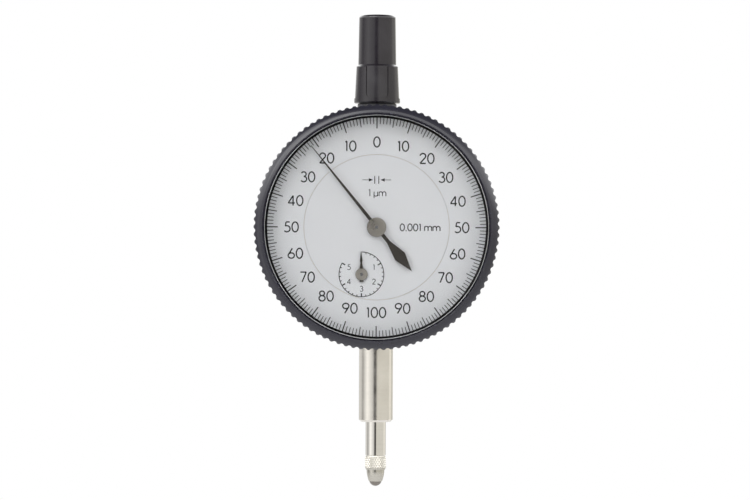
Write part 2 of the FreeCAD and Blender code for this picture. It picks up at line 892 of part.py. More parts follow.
def make_dial_plate():
    body = new_body("inner_dial")
    low, high = D.dial_back, D.dial_front
    outer = D.dial_seam - D.dial_seam_gap
    revolve(body, [(0.0, low), (outer, low), (outer, high), (0.0, high)])
    cut_circles(body, [(0.0, 0.0, 1.2), (*CENTRES["counter"], 0.8)], low - 1, high + 1)
    keep(body, "inner_dial", facing_front())
    feet = []
    for index in range(3):
        angle = math.radians(90 + 120 * index)
        foot = new_body(f"dial_foot_{index}")
        revolve(foot, ring_corners(0.0, D.dial_foot_radius, D.front_plate_front, low))
        reach = D.dial_foot_reach.value
        foot.Placement = facing_front(reach * math.cos(angle), reach * math.sin(angle))
        feet.append(foot)
    group("dial_feet", feet)


# ---- bezel --------------------------------------------------------------------------------------


def rim_point(radius, angle):
    return FreeCAD.Vector(radius * math.cos(angle), radius * math.sin(angle), 0)


def serrated_face():
    """A disc whose edge is a row of rounded bumps with round valleys between them."""
    peak, valley = D.bezel_radius.value, D.bezel_valley.value
    mean = (peak + valley) / 2
    step = 2 * math.pi / SERRATIONS
    edges = []
    for index in range(SERRATIONS):
        angle = index * step
        first, second = rim_point(mean, angle - step / 4), rim_point(mean, angle + step / 4)
        third = rim_point(mean, angle + 3 * step / 4)
        edges.append(Part.Arc(first, rim_point(peak, angle), second).toShape())
        edges.append(Part.Arc(second, rim_point(valley, angle + step / 2), third).toShape())
    return Part.Face(Part.Wire(edges))


def make_bezel():
    """A turned ring whose rim carries rounded serrations."""
    blank = new_body("bezel_blank")
    groove_low = D.snap_depth - D.snap_groove
    groove_high = D.snap_depth + D.snap_groove
    bore, groove = D.bezel_bore, D.bezel_bore + D.snap_groove
    rim = D.bezel_radius + 0.1
    seat = D.crystal_radius + 0.02
    revolve(
        blank,
        [
            (bore, D.bezel_back),
            (D.bezel_valley - 0.1, D.bezel_back),
            (rim, D.bezel_back + 0.6),
            (rim, D.bezel_shoulder, D.bezel_shoulder_round),
            (D.bezel_bead_outer, D.bezel_front - D.bezel_bead_step),
            (D.bezel_bead_outer, D.bezel_front - 0.05),
            (D.bezel_bead_inner + 0.05, D.bezel_front + 0.1),
            (D.bezel_bead_inner, D.bezel_front + 0.05),
            (seat, D.bezel_front - 0.1),
            (seat, D.crystal_seat),
            (D.flange_high_radius, D.crystal_seat),
            (D.flange_low_radius, D.flange_low),
            (bore, D.flange_low),
            (bore, D.clip_high + 0.03),
            (groove + 0.05, D.clip_high + 0.03),
            (groove + 0.05, D.clip_low - 0.03),
            (bore, D.clip_low - 0.03),
            (bore, groove_high),
            (groove, groove_high),
            (groove, groove_low),
            (bore, groove_low),
        ],
    )
    face = serrated_face()
    face.translate(vector(0, 0, D.bezel_back - OVERRUN))
    rim_prism = doc.addObject("Part::Feature", "bezel_rim")
    rim_prism.Shape = face.extrude(vector(0, 0, D.bezel_front - D.bezel_back + 4 * OVERRUN))
    bezel = doc.addObject("Part::Common", "bezel")
    bezel.Base = blank
    bezel.Tool = rim_prism
    keep(bezel, "bezel", facing_front())


def make_crystal():
    """A clear cup with a flat front and a chamfered edge, on a soft seal."""
    seat = D.crystal_seat + D.seal_height
    turned(
        "crystal",
        [
            (D.crystal_inner_radius, seat),
            (D.crystal_radius, seat),
            (D.crystal_radius, D.crystal_front - D.crystal_chamfer_height),
            (D.crystal_radius - D.crystal_chamfer, D.crystal_front),
            (0.0, D.crystal_front),
            (0.0, D.crystal_inner),
            (D.crystal_inner_radius, D.crystal_inner),
        ],
        facing_front(),
    )
    low, high = D.crystal_seat, D.crystal_seat + D.seal_height
    ring("crystal_seal", D.flange_high_radius + 0.05, D.crystal_radius - 0.05, low, high, facing_front())


def make_dial_ring():
    """The printed outer dial, which turns with the bezel, its clip and the washer it turns on."""
    inner = D.dial_seam + D.dial_seam_gap
    ring("dial_ring", inner, D.dial_ring_radius, D.dial_back, D.dial_front, facing_front())
    ring("dial_ring_clip", D.clip_inner, D.clip_outer, D.clip_low, D.clip_high, facing_front())
    low, high = D.case_front, D.case_front + 0.25
    ring("bezel_friction_ring", D.case_inner + 1, D.case_radius - 0.3, low, high, facing_front())


def make_snap_ring():
    """A split wire ring that holds the bezel on the case and lets it turn."""
    split_angle, split_place = 8, 94
    centre, axis = vector(0, 0, D.snap_depth), FreeCAD.Vector(0, 0, 1)
    radius, wire = value_of(D.case_radius), value_of(D.snap_wire)
    shape = Part.makeTorus(radius, wire, centre, axis, -180, 180, 360 - split_angle)
    feature("bezel_snap_ring", shape, facing_front(0, 0, split_place))


# ---- spindle ------------------------------------------------------------------------------------


def make_spindle():
    """The rack spindle: a flat with rack teeth on its +X side, a cross hole and a groove for the stop ring."""
    body = new_body("spindle")
    radius = D.spindle_radius
    groove_high = D.groove_low + D.groove_width
    hole_top = D.spindle_low + D.tip_thread_length + 0.3
    revolve(
        body,
        [
            (D.tip_thread_radius, D.spindle_low),
            (radius - 0.15, D.spindle_low),
            (radius, D.spindle_low + 0.15),
            (radius, D.groove_low),
            (D.groove_radius, D.groove_low),
            (D.groove_radius, groove_high),
            (radius, groove_high),
            (radius, D.spindle_top - 0.4),
            (radius - 0.4, D.spindle_top),
            (0.0, D.spindle_top),
            (0.0, hole_top),
            (D.tip_thread_radius, hole_top),
        ],
    )
    pinion_height = D.dial_height.value + CENTRES["drive"][1]
    pitch = D.rack_pitch
    module = D.rack_pitch.value / math.pi
    low = -pitch * (D.rack_teeth_below.value + 0.5) + pinion_height
    high = pitch * (D.rack_teeth_above.value + 0.5) + pinion_height
    flat = D.rack_pitch_line + ADDENDUM * module
    across = value_of(radius) + 1
    cut_outline(body, [(flat, low), (across, low), (across, high), (flat, high)], -3.0, 3.0, "XZ_Plane")
    root = D.rack_pitch_line - DEDENDUM * module
    half_root = pitch.value * (1 - TOOTH_ROOT_FILL) / 2
    half_pitch = pitch.value * (1 - TOOTH_FILL) / 2
    half_tip = pitch.value * (1 - TOOTH_TIP_FILL) / 2
    lowest = pinion_height - pitch.value * D.rack_teeth_below.value
    gap = [
        (root, lowest - half_root),
        (D.rack_pitch_line, lowest - half_pitch),
        (flat + 0.05, lowest - half_tip),
        (flat + 0.05, lowest + half_tip),
        (D.rack_pitch_line, lowest + half_pitch),
        (root, lowest + half_root),
    ]
    first_gap = cut_outline(body, gap, -3.0, 3.0, "XZ_Plane")
    gaps = body.newObject("PartDesign::LinearPattern", "rack_gaps")
    gaps.Originals = [first_gap]
    gaps.Direction = (origin_part(body, "Z_Axis"), [""])
    gaps.Occurrences = int(D.rack_teeth_below.value + D.rack_teeth_above.value) + 1
    bind(gaps, Length=pitch * (D.rack_teeth_below + D.rack_teeth_above))
    body.Tip = gaps
    cut_circles(body, [(0.0, D.pin_height, D.pin_radius)], -3.0, 1.2, "YZ_Plane")
    keep(body, "spindle")


def make_spindle_fittings():
    """The cross pin that the spring pulls and the slot guides, and the split ring that stops the spindle."""
    pin = new_body("cross_pin")
    left = D.spring_across - 1.2
    pad_circles(pin, [(0.0, D.pin_height, D.pin_radius)], left, 1.2, "YZ_Plane")
    keep(pin, "cross_pin")
    low, width = value_of(D.groove_low), value_of(D.groove_width)
    high, half_gap = low + width, 1.2
    shape = cylinder(value_of(D.stop_ring_radius), low, high)
    shape = shape.cut(cylinder(value_of(D.groove_radius), low, high))
    reach = value_of(D.stop_ring_radius) + OVERRUN
    gap = Part.makeBox(2 * half_gap, reach, width, FreeCAD.Vector(-half_gap, 0, low))
    turned_place = FreeCAD.Placement(FreeCAD.Vector(), FreeCAD.Rotation(STOP_RING_TURN, 0, 0))
    feature("spindle_stop_ring", shape.cut(gap), turned_place)


def make_contact_point():
    """The screwed-in contact point: a knurled grip, a tapered nose and a crimped ball."""
    top = D.spindle_low
    knurl_low = top - D.knurl_length
    nose_low = knurl_low - D.nose_length
    blank = new_body("contact_blank")
    revolve(
        blank,
        [
            (0.0, nose_low),
            (D.nose_end_radius - 0.12, nose_low),
            (D.nose_end_radius, nose_low + 0.15, 6.0),
            (D.nose_radius, knurl_low),
            (D.knurl_radius - 0.2, knurl_low),
            (D.knurl_radius, knurl_low + 0.25),
            (D.knurl_radius, top - 0.2),
            (D.knurl_radius - 0.2, top),
            (D.tip_thread_radius, top),
            (D.tip_thread_radius, top + D.tip_thread_length - 0.3),
            (D.tip_thread_radius - 0.3, top + D.tip_thread_length),
            (0.0, top + D.tip_thread_length),
        ],
    )
    seat = doc.addObject("Part::Sphere", "ball_seat")
    ball = doc.addObject("Part::Sphere", "contact_ball")
    for sphere in (seat, ball):
        bind(sphere, Radius=D.ball_radius)
        sphere.Placement = FreeCAD.Placement(vector(0, 0, D.ball_centre), FreeCAD.Rotation())
    point = doc.addObject("Part::Cut", "contact_point")
    point.Base = blank
    point.Tool = seat
    keep(point, "contact_point")
    keep(ball, "contact_ball")


def make_return_spring():
    """A tension spring beside the spindle, from an anchor post up to the cross pin."""
    across = value_of(D.spring_across)
    coil, wire = value_of(D.spring_coil_radius), value_of(D.spring_wire_radius)
    pitch, turns = value_of(D.spring_pitch), value_of(D.spring_turns)
    loop = value_of(D.pin_radius) + wire + 0.05
    bottom = value_of(D.anchor_height) + loop
    top = value_of(D.pin_height) - loop
    start = (bottom + top - pitch * turns) / 2
    helix = Part.makeHelix(pitch, pitch * turns, coil)
    section = Part.Wire(Part.makeCircle(wire, FreeCAD.Vector(coil, 0, 0), FreeCAD.Vector(0, 1, 0)))
    coils = Part.Wire(helix).makePipeShell([section], True, True)
    coils.translate(FreeCAD.Vector(0, 0, start))
    shape = coils
    end_height = start + pitch * turns
    for foot, head in ((bottom - wire / 2, start), (end_height, top + wire / 2)):
        shape = shape.fuse(cylinder(wire, foot, head))
    for height in (start, end_height):
        end = FreeCAD.Vector(0, 0, height)
        shape = shape.fuse(Part.makeCylinder(wire, coil, end, FreeCAD.Vector(1, 0, 0)))
        shape = shape.fuse(Part.makeSphere(wire, end))
        shape = shape.fuse(Part.makeSphere(wire, end + FreeCAD.Vector(coil, 0, 0)))
    hook = Part.makeTorus(loop, wire, FreeCAD.Vector(0, 0, top + loop), FreeCAD.Vector(1, 0, 0))
    eye = Part.makeTorus(loop, wire, FreeCAD.Vector(0, 0, bottom - loop), FreeCAD.Vector(0, 1, 0))
    shape = shape.fuse(hook).fuse(eye)
    shape.translate(FreeCAD.Vector(across, 0, 0))
    feature("return_spring", shape)
    post = new_body("spring_anchor")
    radius = D.pin_radius
    revolve(
        post,
        [
            (0.0, -1.2),
            (radius, -1.2),
            (radius, 0.8),
            (radius + 0.3, 1.0),
            (radius + 0.3, D.base_plate_back),
            (0.0, D.base_plate_back),
        ],
    )
    keep(post, "spring_anchor", facing_front(across, value_of(D.anchor_height - D.dial_height)))


# ---- wheels, hands and the hairspring -----------------------------------------------------------


def line_angle(start, end):
    return math.degrees(math.atan2(end[1] - start[1], end[0] - start[0]))


def make_movement():
    """Four arbors between the plates: each pinion sits on its own shaft and each wheel is pressed on it."""
    slow, fast = value_of(D.slow_module), value_of(D.fast_module)
    shaft, pivot, thick = value_of(D.arbor_radius), value_of(D.pivot_radius), value_of(D.wheel_thickness)
    counts = {key: int(size) for key, size in DRIVING_SIZES.items() if key.endswith("_teeth")}
    wheel_count, pinion_count = counts["first_wheel_teeth"], counts["middle_pinion_teeth"]
    fast_wheel_count, fast_pinion_count = counts["second_wheel_teeth"], counts["centre_pinion_teeth"]
    drive, middle, centre, counter = (CENTRES[name] for name in ("drive", "middle", "centre", "counter"))
    rear_step = (value_of(D.rear_pivot_end), value_of(D.rear_pivot_shoulder), pivot)
    front_step = (value_of(D.front_pivot_shoulder), value_of(D.front_pivot_end), pivot)
    rear, front = rear_step[1], front_step[0]
    first_phase = line_angle(drive, middle)
    middle_phase = mesh_phase(drive, wheel_count, first_phase, middle, pinion_count)
    counter_phase = mesh_phase(middle, pinion_count, middle_phase, counter, wheel_count)
    second_phase = line_angle(middle, centre)
    centre_phase = mesh_phase(middle, fast_wheel_count, second_phase, centre, fast_pinion_count)

    cock_pivot_end, cock_shoulder = value_of(D.cock_back) + 0.1, value_of(D.cock_front) + 0.05
    shape = arbor([(cock_pivot_end, cock_shoulder, pivot), (cock_shoulder, front, shaft), front_step])
    rack_module, half_face = value_of(D.rack_pitch) / math.pi, 1.5
    shape = shape.fuse(toothed(counts["rack_pinion_teeth"], rack_module, 180, -half_face, half_face))
    feature("rack_pinion", shape, facing_front(*drive))
    low = value_of(D.first_wheel_level)
    shape = wheel(wheel_count, slow, first_phase, low, low + thick, shaft)
    feature("first_wheel", shape, facing_front(*drive))

    low, high = value_of(D.first_wheel_level), value_of(D.counter_wheel_level) + thick
    shape = arbor([rear_step, (rear, front, shaft), front_step])
    shape = shape.fuse(toothed(pinion_count, slow, middle_phase, low - 0.15, high + 0.15))
    feature("intermediate_pinion", shape, facing_front(*middle))
    low = value_of(D.second_wheel_level)
    shape = wheel(fast_wheel_count, fast, second_phase, low, low + thick, shaft)
    feature("second_wheel", shape, facing_front(*middle))

    shape = arbor([rear_step, (rear, value_of(D.pointer_level) + 0.6, shaft)])
    shape = shape.fuse(toothed(fast_pinion_count, fast, centre_phase, low - 0.2, low + thick + 0.2))
    feature("centre_pinion", shape, facing_front(*centre))

    shape = arbor([rear_step, (rear, value_of(D.counter_level) + 0.3, shaft)])
    feature("counter_arbor", shape, facing_front(*counter))
    low = value_of(D.counter_wheel_level)
    shape = wheel(wheel_count, slow, counter_phase, low, low + thick, shaft)
    feature("counter_wheel", shape, facing_front(*counter))


def make_hairspring():
    """A flat spiral from a stud on the front plate in to a collet on the counter's arbor."""
    low, high = value_of(D.hairspring_low), value_of(D.hairspring_high)
    start, growth = value_of(D.hairspring_start), value_of(D.hairspring_growth)
    inner_edges, outer_edges = [], []
    for index in range(HAIRSPRING_HALF_TURNS):
        side = -1 if index % 2 else 1
        centre = -side * growth / 2
        for edges, way in ((inner_edges, -1), (outer_edges, 1)):
            reach = start + growth * index + way * HAIRSPRING_HALF_THICKNESS
            begin = FreeCAD.Vector(centre + side * reach, 0, 0)
            middle = FreeCAD.Vector(centre, side * reach, 0)
            end = FreeCAD.Vector(centre - side * reach, 0, 0)
            edges.append(Part.Arc(begin, middle, end).toShape())
    first = Part.makeLine(inner_edges[0].Vertexes[0].Point, outer_edges[0].Vertexes[0].Point)
    last = Part.makeLine(inner_edges[-1].Vertexes[1].Point, outer_edges[-1].Vertexes[1].Point)
    wire = Part.Wire(Part.__sortEdges__([first, *outer_edges, last, *inner_edges]))
    strip = Part.Face(wire)
    strip.translate(FreeCAD.Vector(0, 0, low))
    spiral = strip.extrude(FreeCAD.Vector(0, 0, high - low))
    place = facing_front(*CENTRES["counter"])
    feature("hairspring", spiral, place)
    outer_end = start + growth * (HAIRSPRING_HALF_TURNS - 0.5)
    stud = cylinder(0.45, low - 0.2, value_of(D.front_plate_back), outer_end + 0.3)
    feature("hairspring_stud", stud.cut(spiral), place)
    ring("hairspring_collet", D.arbor_radius, 0.95, low - 0.1, high + 0.1, place)


def hand_outline(stations):
    """Mirror (distance, half width) stations about a hand's own line."""
    right = [FreeCAD.Vector(half, reach, 0) for reach, half in stations]
    left = [FreeCAD.Vector(-half, reach, 0) for reach, half in reversed(stations) if half > 0]
    return right + left


def make_hands():
    """The long pointer and the small counter hand, each on a turned hub."""
    low = value_of(D.pointer_level)
    high = low + value_of(D.pointer_thickness)
    needle = [
        (-13.1, 0.0),
        (-8.7, 1.43),
        (-4.46, 0.42),
        (2.0, 0.4),
        (19.8, 0.15),
        (24.3, 0.07),
    ]
    shape = prism(hand_outline(needle), low, high)
    shape = shape.fuse(cylinder(1.5, low, high)).cut(cylinder(0.85, low, high))
    feature("pointer", shape, facing_front(0, 0, POINTER_ANGLE))
    shaft = D.arbor_radius
    turned(
        "pointer_hub",
        [
            (shaft, D.pointer_level - 0.4),
            (0.85, D.pointer_level - 0.4),
            (0.85, D.pointer_level + 0.25),
            (D.hub_radius - 0.1, D.pointer_level + 0.25),
            (D.hub_radius, D.pointer_level + 0.35),
            (D.hub_radius, D.pointer_level + 0.65),
            (D.hub_radius - 0.12, D.pointer_level + 0.78),
            (shaft, D.pointer_level + 0.78),
        ],
        facing_front(),
    )
    low = value_of(D.counter_level)
    high = low + value_of(D.counter_hand_thickness)
    small = [
        (-1.75, 0.47),
        (0.0, 0.47),
        (1.4, 0.42),
        (2.6, 0.2),
        (3.3, 0.3),
        (4.0, 0.2),
        (5.3, 0.05),
    ]
    shape = prism(hand_outline(small), low, high)
    shape = shape.cut(cylinder(0.6, low, high))
    feature("counter_hand", shape, facing_front(*CENTRES["counter"], COUNTER_ANGLE))
    turned(
        "counter_hub",
        [
            (shaft, D.counter_level - 0.15),
            (0.6, D.counter_level - 0.15),
            (0.6, D.counter_level + 0.2),
            (D.counter_hub_radius, D.counter_level + 0.2),
            (D.counter_hub_radius, D.counter_level + 0.32),
            (D.counter_hub_radius - 0.1, D.counter_level + 0.4),
            (shaft, D.counter_level + 0.4),
        ],
        facing_front(*CENTRES["counter"]),
    )


def check_and_write():
    doc.recompute()
    for thing in doc.Objects:
        bad = {"Invalid", "Error"} & set(thing.State)
        if bad:
            raise RuntimeError(f"{thing.Name} is {sorted(bad)}")
    for thing in subparts:
        if thing.Shape.isNull() or not thing.Shape.isValid() or not thing.Shape.Solids:
            raise RuntimeError(f"{thing.Label} has no valid solid")
    os.makedirs("parts", exist_ok=True)
    for thing in subparts:
        thing.Shape.exportStep(f"parts/{thing.Label}.step")


write_sheet()
make_case()
make_stem()
make_upper_neck()
make_cap()
make_back_cover()
make_cover_screws()
make_base_plate()
make_front_plate()
make_rear_cock()
make_jewels()
make_spindle_guide()
make_dial_plate()
make_bezel()
make_crystal()
make_dial_ring()
make_snap_ring()
make_spindle()
make_spindle_fittings()
make_contact_point()
make_return_spring()
make_movement()
make_hairspring()
make_hands()
check_and_write()
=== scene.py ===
import json
import math

import bmesh
import bpy
from mathutils import Matrix, Vector


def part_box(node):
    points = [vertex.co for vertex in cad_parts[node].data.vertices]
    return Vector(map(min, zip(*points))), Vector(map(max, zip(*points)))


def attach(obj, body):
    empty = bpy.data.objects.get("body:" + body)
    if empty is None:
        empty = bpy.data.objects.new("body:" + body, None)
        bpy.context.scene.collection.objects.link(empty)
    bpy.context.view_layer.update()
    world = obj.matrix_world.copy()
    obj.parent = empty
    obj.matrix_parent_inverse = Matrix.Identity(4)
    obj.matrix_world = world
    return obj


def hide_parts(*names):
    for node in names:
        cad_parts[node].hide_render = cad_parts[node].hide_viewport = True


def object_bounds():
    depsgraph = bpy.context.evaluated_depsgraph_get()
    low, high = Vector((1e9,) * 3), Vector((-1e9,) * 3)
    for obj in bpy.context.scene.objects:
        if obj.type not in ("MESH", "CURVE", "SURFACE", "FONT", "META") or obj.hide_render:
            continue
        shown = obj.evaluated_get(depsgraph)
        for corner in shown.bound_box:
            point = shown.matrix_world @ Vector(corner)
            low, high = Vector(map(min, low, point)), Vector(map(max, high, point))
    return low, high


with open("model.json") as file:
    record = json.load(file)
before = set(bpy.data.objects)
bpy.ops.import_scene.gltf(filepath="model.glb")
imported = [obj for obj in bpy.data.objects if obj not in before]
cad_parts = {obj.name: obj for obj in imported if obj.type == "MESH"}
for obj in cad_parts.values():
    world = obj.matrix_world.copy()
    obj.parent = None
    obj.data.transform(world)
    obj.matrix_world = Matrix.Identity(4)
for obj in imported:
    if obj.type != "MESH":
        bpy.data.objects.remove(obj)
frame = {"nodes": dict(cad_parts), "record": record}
cad_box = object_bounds()

MM = 0.001

# Noise is read between these values, since it hardly ever leaves them.
NOISE_LOW, NOISE_HIGH = 0.3, 0.7
# How fast lathe marks change round their axis, at a radius of a millimetre, as a share of how fast they
# change across themselves.
LATHE_DRIFT = 0.02
# Painted shade at the seam between the dial's two parts, which darkens the dial from the second distance
# to the first from the seam, by these factors.
PAINTED_SEAM_SHADE_REACH = (0.04 * MM, 0.16 * MM)
PAINTED_SEAM_SHADE = (0.86, 1.0)

# The dial's axis is the bezel's middle, and the spindle's axis is the world's Z axis.
BEZEL_LOW, BEZEL_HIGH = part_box("bezel")
DIAL_HEIGHT = (BEZEL_LOW.z + BEZEL_HIGH.z) / 2
DIAL_FACE = -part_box("dial_ring")[0].y
SEAM_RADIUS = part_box("inner_dial")[1].x
COUNTER_LOW, COUNTER_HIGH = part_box("counter_hub")
COUNTER_ACROSS = (COUNTER_LOW.x + COUNTER_HIGH.x) / 2 / MM
COUNTER_UP = ((COUNTER_LOW.z + COUNTER_HIGH.z) / 2 - DIAL_HEIGHT) / MM

# Printed dial, in millimetres from the dial's centre. A tick has its inner radius and its width, and a
# counter's tick has its length and its width.
INK_THICKNESS = 0.02
TICK_OUTER = 25.5
DIVISIONS = 200
TICKS = {"one": (24.0, 0.16), "five": (23.45, 0.19), "ten": (22.95, 0.25)}
NUMERAL_RADIUS = 19.8
NUMERAL_HEIGHT = 2.3
NUMERAL_STROKE = 0.31
COUNTER_RADIUS = 5.2
COUNTER_SPAN = 300
COUNTER_MARKS = 5
COUNTER_PARTS = 5
COUNTER_LINE = 0.19
COUNTER_TICKS = {"whole": (0.85, 0.28), "part": (0.42, 0.19)}
COUNTER_NUMERAL_RADIUS = 3.35
COUNTER_NUMERAL_HEIGHT = 1.2
COUNTER_STROKE = 0.16
GLYPH_GAP = 0.17
GLYPH_SPREAD = 1.16
# A stroke widens at a corner, but by no more than at a corner of this sharpness: the square of the cosine of
# half the turn.
SHARPEST_MITRE = 0.35

# An edge of the contact point that turns by more than this is shaded as a sharp one.
SHARP_EDGE_DEGREES = 28


# ---- materials ------------------------------------------------------------------------------------


class NodeTree:
    """The node tree of a material or a world."""

    def __init__(self, owner):
        owner.use_nodes = True
        self.tree = owner.node_tree

    def node(self, kind, **settings):
        made = self.tree.nodes.new(kind)
        for name, value in settings.items():
            setattr(made, name, value)
        return made

    def link(self, source, target):
        self.tree.links.new(source, target)

    def feed(self, socket, value):
        """Give a socket a constant, or the output of another node."""
        if isinstance(value, (int, float, tuple)):
            socket.default_value = value
        else:
            self.link(value, socket)

    def math(self, operation, first, second=0.0):
        made = self.node("ShaderNodeMath", operation=operation)
        self.feed(made.inputs[0], first)
        self.feed(made.inputs[1], second)
        return made.outputs[0]

    def range(self, value, low, high, out_low=0.0, out_high=1.0):
        """A value that runs between the out limits as the given one runs from low to high."""
        made = self.node("ShaderNodeMapRange")
        self.link(value, made.inputs["Value"])
        limits = {"From Min": low, "From Max": high, "To Min": out_low, "To Max": out_high}
        for name, number in limits.items():
            made.inputs[name].default_value = number
        return made.outputs[0]


class Paint(NodeTree):
    """One material, built around its Principled shader."""

    def __init__(self, name, color, metallic, roughness, **sockets):
        self.material = bpy.data.materials.new(name)
        super().__init__(self.material)
        self.shader = self.tree.nodes["Principled BSDF"]
        self.color = color
        self.set_socket("Base Color", (*color, 1))
        self.set_socket("Metallic", metallic)
        self.set_socket("Roughness", roughness)
        for socket, value in sockets.items():
            self.set_socket(socket.replace("_", " "), value)

    def set_socket(self, name, value):
        self.shader.inputs[name].default_value = value

    def place(self):
        return self.node("ShaderNodeTexCoord").outputs["Object"]

    def stretched(self, scale, turn=(0, 0, 0)):
        """Object coordinates scaled by axis: a noise read there is drawn out along the smallest."""
        mapping = self.node("ShaderNodeMapping")
        self.link(self.place(), mapping.inputs["Vector"])
        mapping.inputs["Scale"].default_value = scale
        mapping.inputs["Rotation"].default_value = turn
        return mapping.outputs[0]

    def round_axis(self, axis):
        """Radius in metres, angle and depth of a place, round the dial's axis or the spindle's."""
        split = self.node("ShaderNodeSeparateXYZ")
        self.link(self.place(), split.inputs[0])
        across = split.outputs["X"]
        if axis == "dial":
            side = self.math("SUBTRACT", split.outputs["Z"], DIAL_HEIGHT)
            depth = split.outputs["Y"]
        else:
            side = split.outputs["Y"]
            depth = split.outputs["Z"]
        square = self.math("ADD", self.math("POWER", across, 2.0), self.math("POWER", side, 2.0))
        return self.math("SQRT", square), self.math("ARCTAN2", across, side), depth

    def turned(self, axis, scale, along):
        """Coordinates that hardly change round an axis: a noise read there looks turned on a lathe."""
        radius, angle, depth = self.round_axis(axis)
        joined = self.node("ShaderNodeCombineXYZ")
        self.link(self.math("MULTIPLY", radius, scale), joined.inputs["X"])
        self.link(self.math("MULTIPLY", depth, scale), joined.inputs["Y"])
        self.link(self.math("MULTIPLY", angle, along * scale * MM), joined.inputs["Z"])
        return joined.outputs[0]

    def shade(self, factor):
        """Multiply the base colour by a factor that changes over the surface."""
        base = self.shader.inputs["Base Color"]
        made = self.node("ShaderNodeVectorMath", operation="SCALE")
        self.link(base.links[0].from_socket, made.inputs[0])
        self.link(factor, made.inputs["Scale"])
        self.link(made.outputs[0], base)

    def noise(self, vector, scale=1.0, detail=3.0, distortion=0.0):
        made = self.node("ShaderNodeTexNoise")
        self.link(vector, made.inputs["Vector"])
        made.inputs["Scale"].default_value = scale
        made.inputs["Detail"].default_value = detail
        made.inputs["Distortion"].default_value = distortion
        return made.outputs["Fac"]

    def blend(self, first, second, share):
        """The sum of two values, of which the first has the given share."""
        return self.math("ADD", self.math("MULTIPLY", first, share), self.math("MULTIPLY", second, 1 - share))

    def tone(self, value, dark, light):
        """Base colour that runs from dark to light times the paint's colour as a noise goes up."""
        ramp = self.node("ShaderNodeValToRGB")
        self.link(value, ramp.inputs[0])
        rows = ((NOISE_LOW, dark), (NOISE_HIGH, light))
        for stop, (place, factor) in zip(ramp.color_ramp.elements, rows):
            stop.position = place
            stop.color = (*(min(1.0, part * factor) for part in self.color), 1)
        self.link(ramp.outputs["Color"], self.shader.inputs["Base Color"])

    def gloss(self, value, low, high):
        """Roughness that runs from low to high as a noise goes up."""
        self.link(self.range(value, NOISE_LOW, NOISE_HIGH, low, high), self.shader.inputs["Roughness"])

    def bump(self, value, depth):
        """A relief of the given depth in metres."""
        made = self.node("ShaderNodeBump")
        made.inputs["Distance"].default_value = depth
        self.link(value, made.inputs["Height"])
        self.link(made.outputs[0], self.shader.inputs["Normal"])


def turned_metal(name, color, axis, roughness, depth, scale=9000.0, spread=0.06):
    """Metal with fine lathe marks round its axis, and a slow change of polish."""
    paint = Paint(name, color, 1.0, roughness)
    marks = paint.noise(paint.turned(axis, scale, LATHE_DRIFT), detail=4.0)
    wear = paint.noise(paint.place(), scale=260.0, detail=3.0)
    paint.tone(paint.blend(marks, wear, 0.5), 0.93, 1.04)
    paint.gloss(wear, roughness - spread, roughness + spread)
    paint.bump(marks, depth)
    return paint.material


def brushed_metal(name, color, roughness, scale=(600.0, 9000.0, 9000.0)):
    """Metal rubbed along its width, with a slightly uneven finish."""
    paint = Paint(name, color, 1.0, roughness)
    lines = paint.noise(paint.stretched(scale), detail=4.0)
    stain = paint.noise(paint.place(), scale=180.0, detail=4.0)
    paint.tone(stain, 0.86, 1.05)
    paint.gloss(lines, roughness - 0.06, roughness + 0.1)
    paint.bump(lines, 0.000004)
    return paint.material


def grained(name, color, metallic, roughness, grain, depth, specular=0.5, coat=0.0, tint=0.15):
    """Cast, painted or moulded surface: a fine grain, rubbed patches and a soft change of colour."""
    paint = Paint(name, color, metallic, roughness, Specular_IOR_Level=specular, Coat_Weight=coat)
    paint.set_socket("Coat Roughness", 0.12)
    speck = paint.noise(paint.place(), scale=grain, detail=5.0)
    patch = paint.noise(paint.place(), scale=150.0, detail=4.0, distortion=0.4)
    paint.tone(paint.blend(speck, patch, 0.4), 1.0 - tint, 1.0 + tint)
    paint.gloss(patch, roughness - 0.06, roughness + 0.06)
    paint.bump(speck, depth)
    return paint.material


def dial_finish():
    """Satin silvered face with an even fine grain, and a line of painted shade at the seam between its two
    parts.
    """
    color = (0.945, 0.952, 0.985)
    paint = Paint("dial_face", color, 0.0, 0.42, Specular_IOR_Level=0.4)
    grain = paint.noise(paint.place(), scale=9000.0, detail=3.0)
    cloud = paint.noise(paint.place(), scale=90.0, detail=3.0)
    paint.tone(paint.blend(grain, cloud, 0.55), 0.97, 1.02)
    # Painted shade: the base colour darkens in a thin ring at the seam between the dial's two parts.
    radius = paint.round_axis("dial")[0]
    from_seam = paint.math("ABSOLUTE", paint.math("SUBTRACT", radius, SEAM_RADIUS))
    paint.shade(paint.range(from_seam, *PAINTED_SEAM_SHADE_REACH, *PAINTED_SEAM_SHADE))
    paint.gloss(grain, 0.36, 0.48)
    paint.bump(grain, 0.000003)
    return paint.material


def crystal_finish():
    """Clear moulded acrylic with hardly visible ripples and hairline rubs."""
    paint = Paint("crystal", (0.985, 0.99, 0.99), 0.0, 0.0, Transmission_Weight=1.0, IOR=1.49)
    ripple = paint.noise(paint.place(), scale=60.0, detail=1.0)
    rubs = paint.noise(paint.stretched((4000.0, 300.0, 9000.0), (0, 0.6, 0)), detail=2.0)
    paint.link(paint.range(rubs, 0.62, 0.8, 0.0, 0.05), paint.shader.inputs["Roughness"])
    paint.bump(ripple, 0.000002)
    return paint.material


def ruby_finish():
    """Clear red jewel with a slight cloud."""
    paint = Paint("ruby", (0.62, 0.03, 0.09), 0.0, 0.05, Transmission_Weight=0.7, IOR=1.76)
    cloud = paint.noise(paint.place(), scale=900.0, detail=2.0)
    paint.tone(cloud, 0.85, 1.1)
    paint.gloss(cloud, 0.03, 0.08)
    return paint.material


def ink_finish():
    """Matt black printing with a slightly uneven density."""
    paint = Paint("ink", (0.018, 0.018, 0.02), 0.0, 0.55, Specular_IOR_Level=0.3)
    density = paint.noise(paint.place(), scale=5000.0, detail=3.0)
    paint.tone(density, 0.75, 1.5)
    paint.gloss(density, 0.5, 0.62)
    return paint.material


